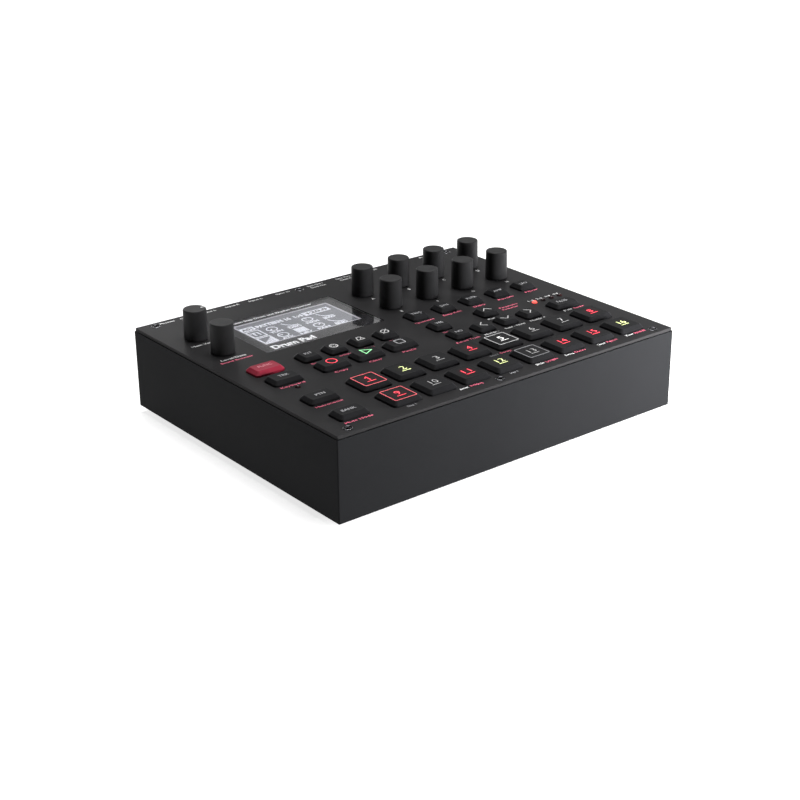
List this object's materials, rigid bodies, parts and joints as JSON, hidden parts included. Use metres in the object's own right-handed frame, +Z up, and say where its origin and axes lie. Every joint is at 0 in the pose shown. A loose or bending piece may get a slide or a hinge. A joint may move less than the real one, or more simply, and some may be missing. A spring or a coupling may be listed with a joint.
{
  "type": "electronic drum pad",
  "caption": "Desk-top drum pad instrument: flat steel case with square trigger keys, small function keys, turning knobs, a display window and a rear row of sockets.",
  "frame": {"origin": "on the table plane under the feet, at the centre of the overall box; the case centre is 0.9 mm behind it because nuts and the power button stand out of the rear wall", "axes": "+X to the player's right, +Y to the rear where the sockets are, +Z up"},
  "size_m": [0.215, 0.1778, 0.063],
  "materials": {
    "case_paint": "fine-textured matt powder coat",
    "panel_paint": "matt, lightly textured",
    "foot_rubber": "matt",
    "window_acrylic": "gloss acrylic",
    "screen_glass": "gloss",
    "board": "solder resist",
    "socket_plastic": "moulded",
    "screw_steel": "black oxide",
    "button_plastic": "satin",
    "key_plastic": "satin, fine grain",
    "func_key_plastic": "satin, fine grain",
    "knob_plastic": "soft-touch matt"
  },
  "bodies": {
    "case": {"bottom_case": "case_paint", "top_panel": "panel_paint", "rubber_feet": "foot_rubber", "display_window": "window_acrylic", "display_module": "screen_glass", "control_board": "board", "socket_board": "board", "rear_sockets": "socket_plastic", "power_inlet_socket": "socket_plastic", "fasteners": "screw_steel"},
    "knob_main_volume_body": {"knob_main_volume": "knob_plastic"},
    "knob_level_data_body": {"knob_level_data": "knob_plastic"},
    "knob_a_body": {"knob_a": "knob_plastic"},
    "knob_h_body": {"knob_h": "knob_plastic"},
    "key_trig_01_body": {"key_trig_01": "key_plastic"},
    "key_trig_12_body": {"key_trig_12": "key_plastic"},
    "key_func_body": {"key_func": "func_key_plastic"},
    "key_play_body": {"key_play": "key_plastic"},
    "key_setup_1_body": {"key_setup_1": "key_plastic"},
    "key_page_1_body": {"key_page_1": "key_plastic"},
    "key_yes_body": {"key_yes": "key_plastic"},
    "key_right_body": {"key_right": "key_plastic"},
    "key_page_step_body": {"key_page_step": "key_plastic"},
    "power_button_body": {"power_button": "button_plastic"},
    "knob_b_body": {"knob_b": "knob_plastic"},
    "knob_c_body": {"knob_c": "knob_plastic"},
    "knob_d_body": {"knob_d": "knob_plastic"},
    "knob_e_body": {"knob_e": "knob_plastic"},
    "knob_f_body": {"knob_f": "knob_plastic"},
    "knob_g_body": {"knob_g": "knob_plastic"},
    "key_trig_02_body": {"key_trig_02": "key_plastic"},
    "key_trig_03_body": {"key_trig_03": "key_plastic"},
    "key_trig_04_body": {"key_trig_04": "key_plastic"},
    "key_trig_05_body": {"key_trig_05": "key_plastic"},
    "key_trig_06_body": {"key_trig_06": "key_plastic"},
    "key_trig_07_body": {"key_trig_07": "key_plastic"},
    "key_trig_08_body": {"key_trig_08": "key_plastic"},
    "key_trig_09_body": {"key_trig_09": "key_plastic"},
    "key_trig_10_body": {"key_trig_10": "key_plastic"},
    "key_trig_11_body": {"key_trig_11": "key_plastic"},
    "key_trig_13_body": {"key_trig_13": "key_plastic"},
    "key_trig_14_body": {"key_trig_14": "key_plastic"},
    "key_trig_15_body": {"key_trig_15": "key_plastic"},
    "key_trig_16_body": {"key_trig_16": "key_plastic"},
    "key_track_body": {"key_track": "key_plastic"},
    "key_pattern_body": {"key_pattern": "key_plastic"},
    "key_bank_body": {"key_bank": "key_plastic"},
    "key_record_body": {"key_record": "key_plastic"},
    "key_stop_body": {"key_stop": "key_plastic"},
    "key_setup_2_body": {"key_setup_2": "key_plastic"},
    "key_setup_3_body": {"key_setup_3": "key_plastic"},
    "key_setup_4_body": {"key_setup_4": "key_plastic"},
    "key_page_2_body": {"key_page_2": "key_plastic"},
    "key_page_3_body": {"key_page_3": "key_plastic"},
    "key_page_4_body": {"key_page_4": "key_plastic"},
    "key_page_5_body": {"key_page_5": "key_plastic"},
    "key_no_body": {"key_no": "key_plastic"},
    "key_left_body": {"key_left": "key_plastic"},
    "key_up_body": {"key_up": "key_plastic"},
    "key_down_body": {"key_down": "key_plastic"}
  },
  "joints": [
    {"name": "knob_main_volume_turn", "type": "hinge", "parent": "case", "child": "knob_main_volume_body", "pos_m": [-0.0908, 0.0537, 0.055], "axis": [0, 0, 1], "range_deg": [-50, 245]},
    {"name": "knob_level_data_turn", "type": "hinge", "parent": "case", "child": "knob_level_data_body", "pos_m": [-0.0908, 0.0287, 0.055], "axis": [0, 0, 1], "continuous": true},
    {"name": "knob_a_turn", "type": "hinge", "parent": "case", "child": "knob_a_body", "pos_m": [0.0147, 0.0537, 0.055], "axis": [0, 0, 1], "continuous": true},
    {"name": "knob_h_turn", "type": "hinge", "parent": "case", "child": "knob_h_body", "pos_m": [0.0897, 0.0287, 0.055], "axis": [0, 0, 1], "continuous": true},
    {"name": "key_trig_01_press", "type": "slide", "parent": "case", "child": "key_trig_01_body", "axis": [0, 0, -1], "range_m": [0, 0.0009], "stiffness_N_per_m": 800},
    {"name": "key_trig_12_press", "type": "slide", "parent": "case", "child": "key_trig_12_body", "axis": [0, 0, -1], "range_m": [0, 0.0009], "stiffness_N_per_m": 800},
    {"name": "key_func_press", "type": "slide", "parent": "case", "child": "key_func_body", "axis": [0, 0, -1], "range_m": [0, 0.0009], "stiffness_N_per_m": 800},
    {"name": "key_play_press", "type": "slide", "parent": "case", "child": "key_play_body", "axis": [0, 0, -1], "range_m": [0, 0.0009], "stiffness_N_per_m": 800},
    {"name": "key_setup_1_press", "type": "slide", "parent": "case", "child": "key_setup_1_body", "axis": [0, 0, -1], "range_m": [0, 0.0009], "stiffness_N_per_m": 800},
    {"name": "key_page_1_press", "type": "slide", "parent": "case", "child": "key_page_1_body", "axis": [0, 0, -1], "range_m": [0, 0.0009], "stiffness_N_per_m": 800},
    {"name": "key_yes_press", "type": "slide", "parent": "case", "child": "key_yes_body", "axis": [0, 0, -1], "range_m": [0, 0.0009], "stiffness_N_per_m": 800},
    {"name": "key_right_press", "type": "slide", "parent": "case", "child": "key_right_body", "axis": [0, 0, -1], "range_m": [0, 0.0009], "stiffness_N_per_m": 800},
    {"name": "key_page_step_press", "type": "slide", "parent": "case", "child": "key_page_step_body", "axis": [0, 0, -1], "range_m": [0, 0.0009], "stiffness_N_per_m": 800},
    {"name": "power_button_press", "type": "slide", "parent": "case", "child": "power_button_body", "axis": [0, -1, 0], "range_m": [0, 0.0014], "stiffness_N_per_m": 900},
    {"name": "knob_b_turn", "type": "hinge", "parent": "case", "child": "knob_b_body", "pos_m": [0.0397, 0.0537, 0.055], "axis": [0, 0, 1], "continuous": true},
    {"name": "knob_c_turn", "type": "hinge", "parent": "case", "child": "knob_c_body", "pos_m": [0.0647, 0.0537, 0.055], "axis": [0, 0, 1], "continuous": true},
    {"name": "knob_d_turn", "type": "hinge", "parent": "case", "child": "knob_d_body", "pos_m": [0.0897, 0.0537, 0.055], "axis": [0, 0, 1], "continuous": true},
    {"name": "knob_e_turn", "type": "hinge", "parent": "case", "child": "knob_e_body", "pos_m": [0.0147, 0.0287, 0.055], "axis": [0, 0, 1], "continuous": true},
    {"name": "knob_f_turn", "type": "hinge", "parent": "case", "child": "knob_f_body", "pos_m": [0.0397, 0.0287, 0.055], "axis": [0, 0, 1], "continuous": true},
    {"name": "knob_g_turn", "type": "hinge", "parent": "case", "child": "knob_g_body", "pos_m": [0.0647, 0.0287, 0.055], "axis": [0, 0, 1], "continuous": true},
    {"name": "key_trig_02_press", "type": "slide", "parent": "case", "child": "key_trig_02_body", "axis": [0, 0, -1], "range_m": [0, 0.0009], "stiffness_N_per_m": 800},
    {"name": "key_trig_03_press", "type": "slide", "parent": "case", "child": "key_trig_03_body", "axis": [0, 0, -1], "range_m": [0, 0.0009], "stiffness_N_per_m": 800},
    {"name": "key_trig_04_press", "type": "slide", "parent": "case", "child": "key_trig_04_body", "axis": [0, 0, -1], "range_m": [0, 0.0009], "stiffness_N_per_m": 800},
    {"name": "key_trig_05_press", "type": "slide", "parent": "case", "child": "key_trig_05_body", "axis": [0, 0, -1], "range_m": [0, 0.0009], "stiffness_N_per_m": 800},
    {"name": "key_trig_06_press", "type": "slide", "parent": "case", "child": "key_trig_06_body", "axis": [0, 0, -1], "range_m": [0, 0.0009], "stiffness_N_per_m": 800},
    {"name": "key_trig_07_press", "type": "slide", "parent": "case", "child": "key_trig_07_body", "axis": [0, 0, -1], "range_m": [0, 0.0009], "stiffness_N_per_m": 800},
    {"name": "key_trig_08_press", "type": "slide", "parent": "case", "child": "key_trig_08_body", "axis": [0, 0, -1], "range_m": [0, 0.0009], "stiffness_N_per_m": 800},
    {"name": "key_trig_09_press", "type": "slide", "parent": "case", "child": "key_trig_09_body", "axis": [0, 0, -1], "range_m": [0, 0.0009], "stiffness_N_per_m": 800},
    {"name": "key_trig_10_press", "type": "slide", "parent": "case", "child": "key_trig_10_body", "axis": [0, 0, -1], "range_m": [0, 0.0009], "stiffness_N_per_m": 800},
    {"name": "key_trig_11_press", "type": "slide", "parent": "case", "child": "key_trig_11_body", "axis": [0, 0, -1], "range_m": [0, 0.0009], "stiffness_N_per_m": 800},
    {"name": "key_trig_13_press", "type": "slide", "parent": "case", "child": "key_trig_13_body", "axis": [0, 0, -1], "range_m": [0, 0.0009], "stiffness_N_per_m": 800},
    {"name": "key_trig_14_press", "type": "slide", "parent": "case", "child": "key_trig_14_body", "axis": [0, 0, -1], "range_m": [0, 0.0009], "stiffness_N_per_m": 800},
    {"name": "key_trig_15_press", "type": "slide", "parent": "case", "child": "key_trig_15_body", "axis": [0, 0, -1], "range_m": [0, 0.0009], "stiffness_N_per_m": 800},
    {"name": "key_trig_16_press", "type": "slide", "parent": "case", "child": "key_trig_16_body", "axis": [0, 0, -1], "range_m": [0, 0.0009], "stiffness_N_per_m": 800},
    {"name": "key_track_press", "type": "slide", "parent": "case", "child": "key_track_body", "axis": [0, 0, -1], "range_m": [0, 0.0009], "stiffness_N_per_m": 800},
    {"name": "key_pattern_press", "type": "slide", "parent": "case", "child": "key_pattern_body", "axis": [0, 0, -1], "range_m": [0, 0.0009], "stiffness_N_per_m": 800},
    {"name": "key_bank_press", "type": "slide", "parent": "case", "child": "key_bank_body", "axis": [0, 0, -1], "range_m": [0, 0.0009], "stiffness_N_per_m": 800},
    {"name": "key_record_press", "type": "slide", "parent": "case", "child": "key_record_body", "axis": [0, 0, -1], "range_m": [0, 0.0009], "stiffness_N_per_m": 800},
    {"name": "key_stop_press", "type": "slide", "parent": "case", "child": "key_stop_body", "axis": [0, 0, -1], "range_m": [0, 0.0009], "stiffness_N_per_m": 800},
    {"name": "key_setup_2_press", "type": "slide", "parent": "case", "child": "key_setup_2_body", "axis": [0, 0, -1], "range_m": [0, 0.0009], "stiffness_N_per_m": 800},
    {"name": "key_setup_3_press", "type": "slide", "parent": "case", "child": "key_setup_3_body", "axis": [0, 0, -1], "range_m": [0, 0.0009], "stiffness_N_per_m": 800},
    {"name": "key_setup_4_press", "type": "slide", "parent": "case", "child": "key_setup_4_body", "axis": [0, 0, -1], "range_m": [0, 0.0009], "stiffness_N_per_m": 800},
    {"name": "key_page_2_press", "type": "slide", "parent": "case", "child": "key_page_2_body", "axis": [0, 0, -1], "range_m": [0, 0.0009], "stiffness_N_per_m": 800},
    {"name": "key_page_3_press", "type": "slide", "parent": "case", "child": "key_page_3_body", "axis": [0, 0, -1], "range_m": [0, 0.0009], "stiffness_N_per_m": 800},
    {"name": "key_page_4_press", "type": "slide", "parent": "case", "child": "key_page_4_body", "axis": [0, 0, -1], "range_m": [0, 0.0009], "stiffness_N_per_m": 800},
    {"name": "key_page_5_press", "type": "slide", "parent": "case", "child": "key_page_5_body", "axis": [0, 0, -1], "range_m": [0, 0.0009], "stiffness_N_per_m": 800},
    {"name": "key_no_press", "type": "slide", "parent": "case", "child": "key_no_body", "axis": [0, 0, -1], "range_m": [0, 0.0009], "stiffness_N_per_m": 800},
    {"name": "key_left_press", "type": "slide", "parent": "case", "child": "key_left_body", "axis": [0, 0, -1], "range_m": [0, 0.0009], "stiffness_N_per_m": 800},
    {"name": "key_up_press", "type": "slide", "parent": "case", "child": "key_up_body", "axis": [0, 0, -1], "range_m": [0, 0.0009], "stiffness_N_per_m": 800},
    {"name": "key_down_press", "type": "slide", "parent": "case", "child": "key_down_body", "axis": [0, 0, -1], "range_m": [0, 0.0009], "stiffness_N_per_m": 800}
  ]
}
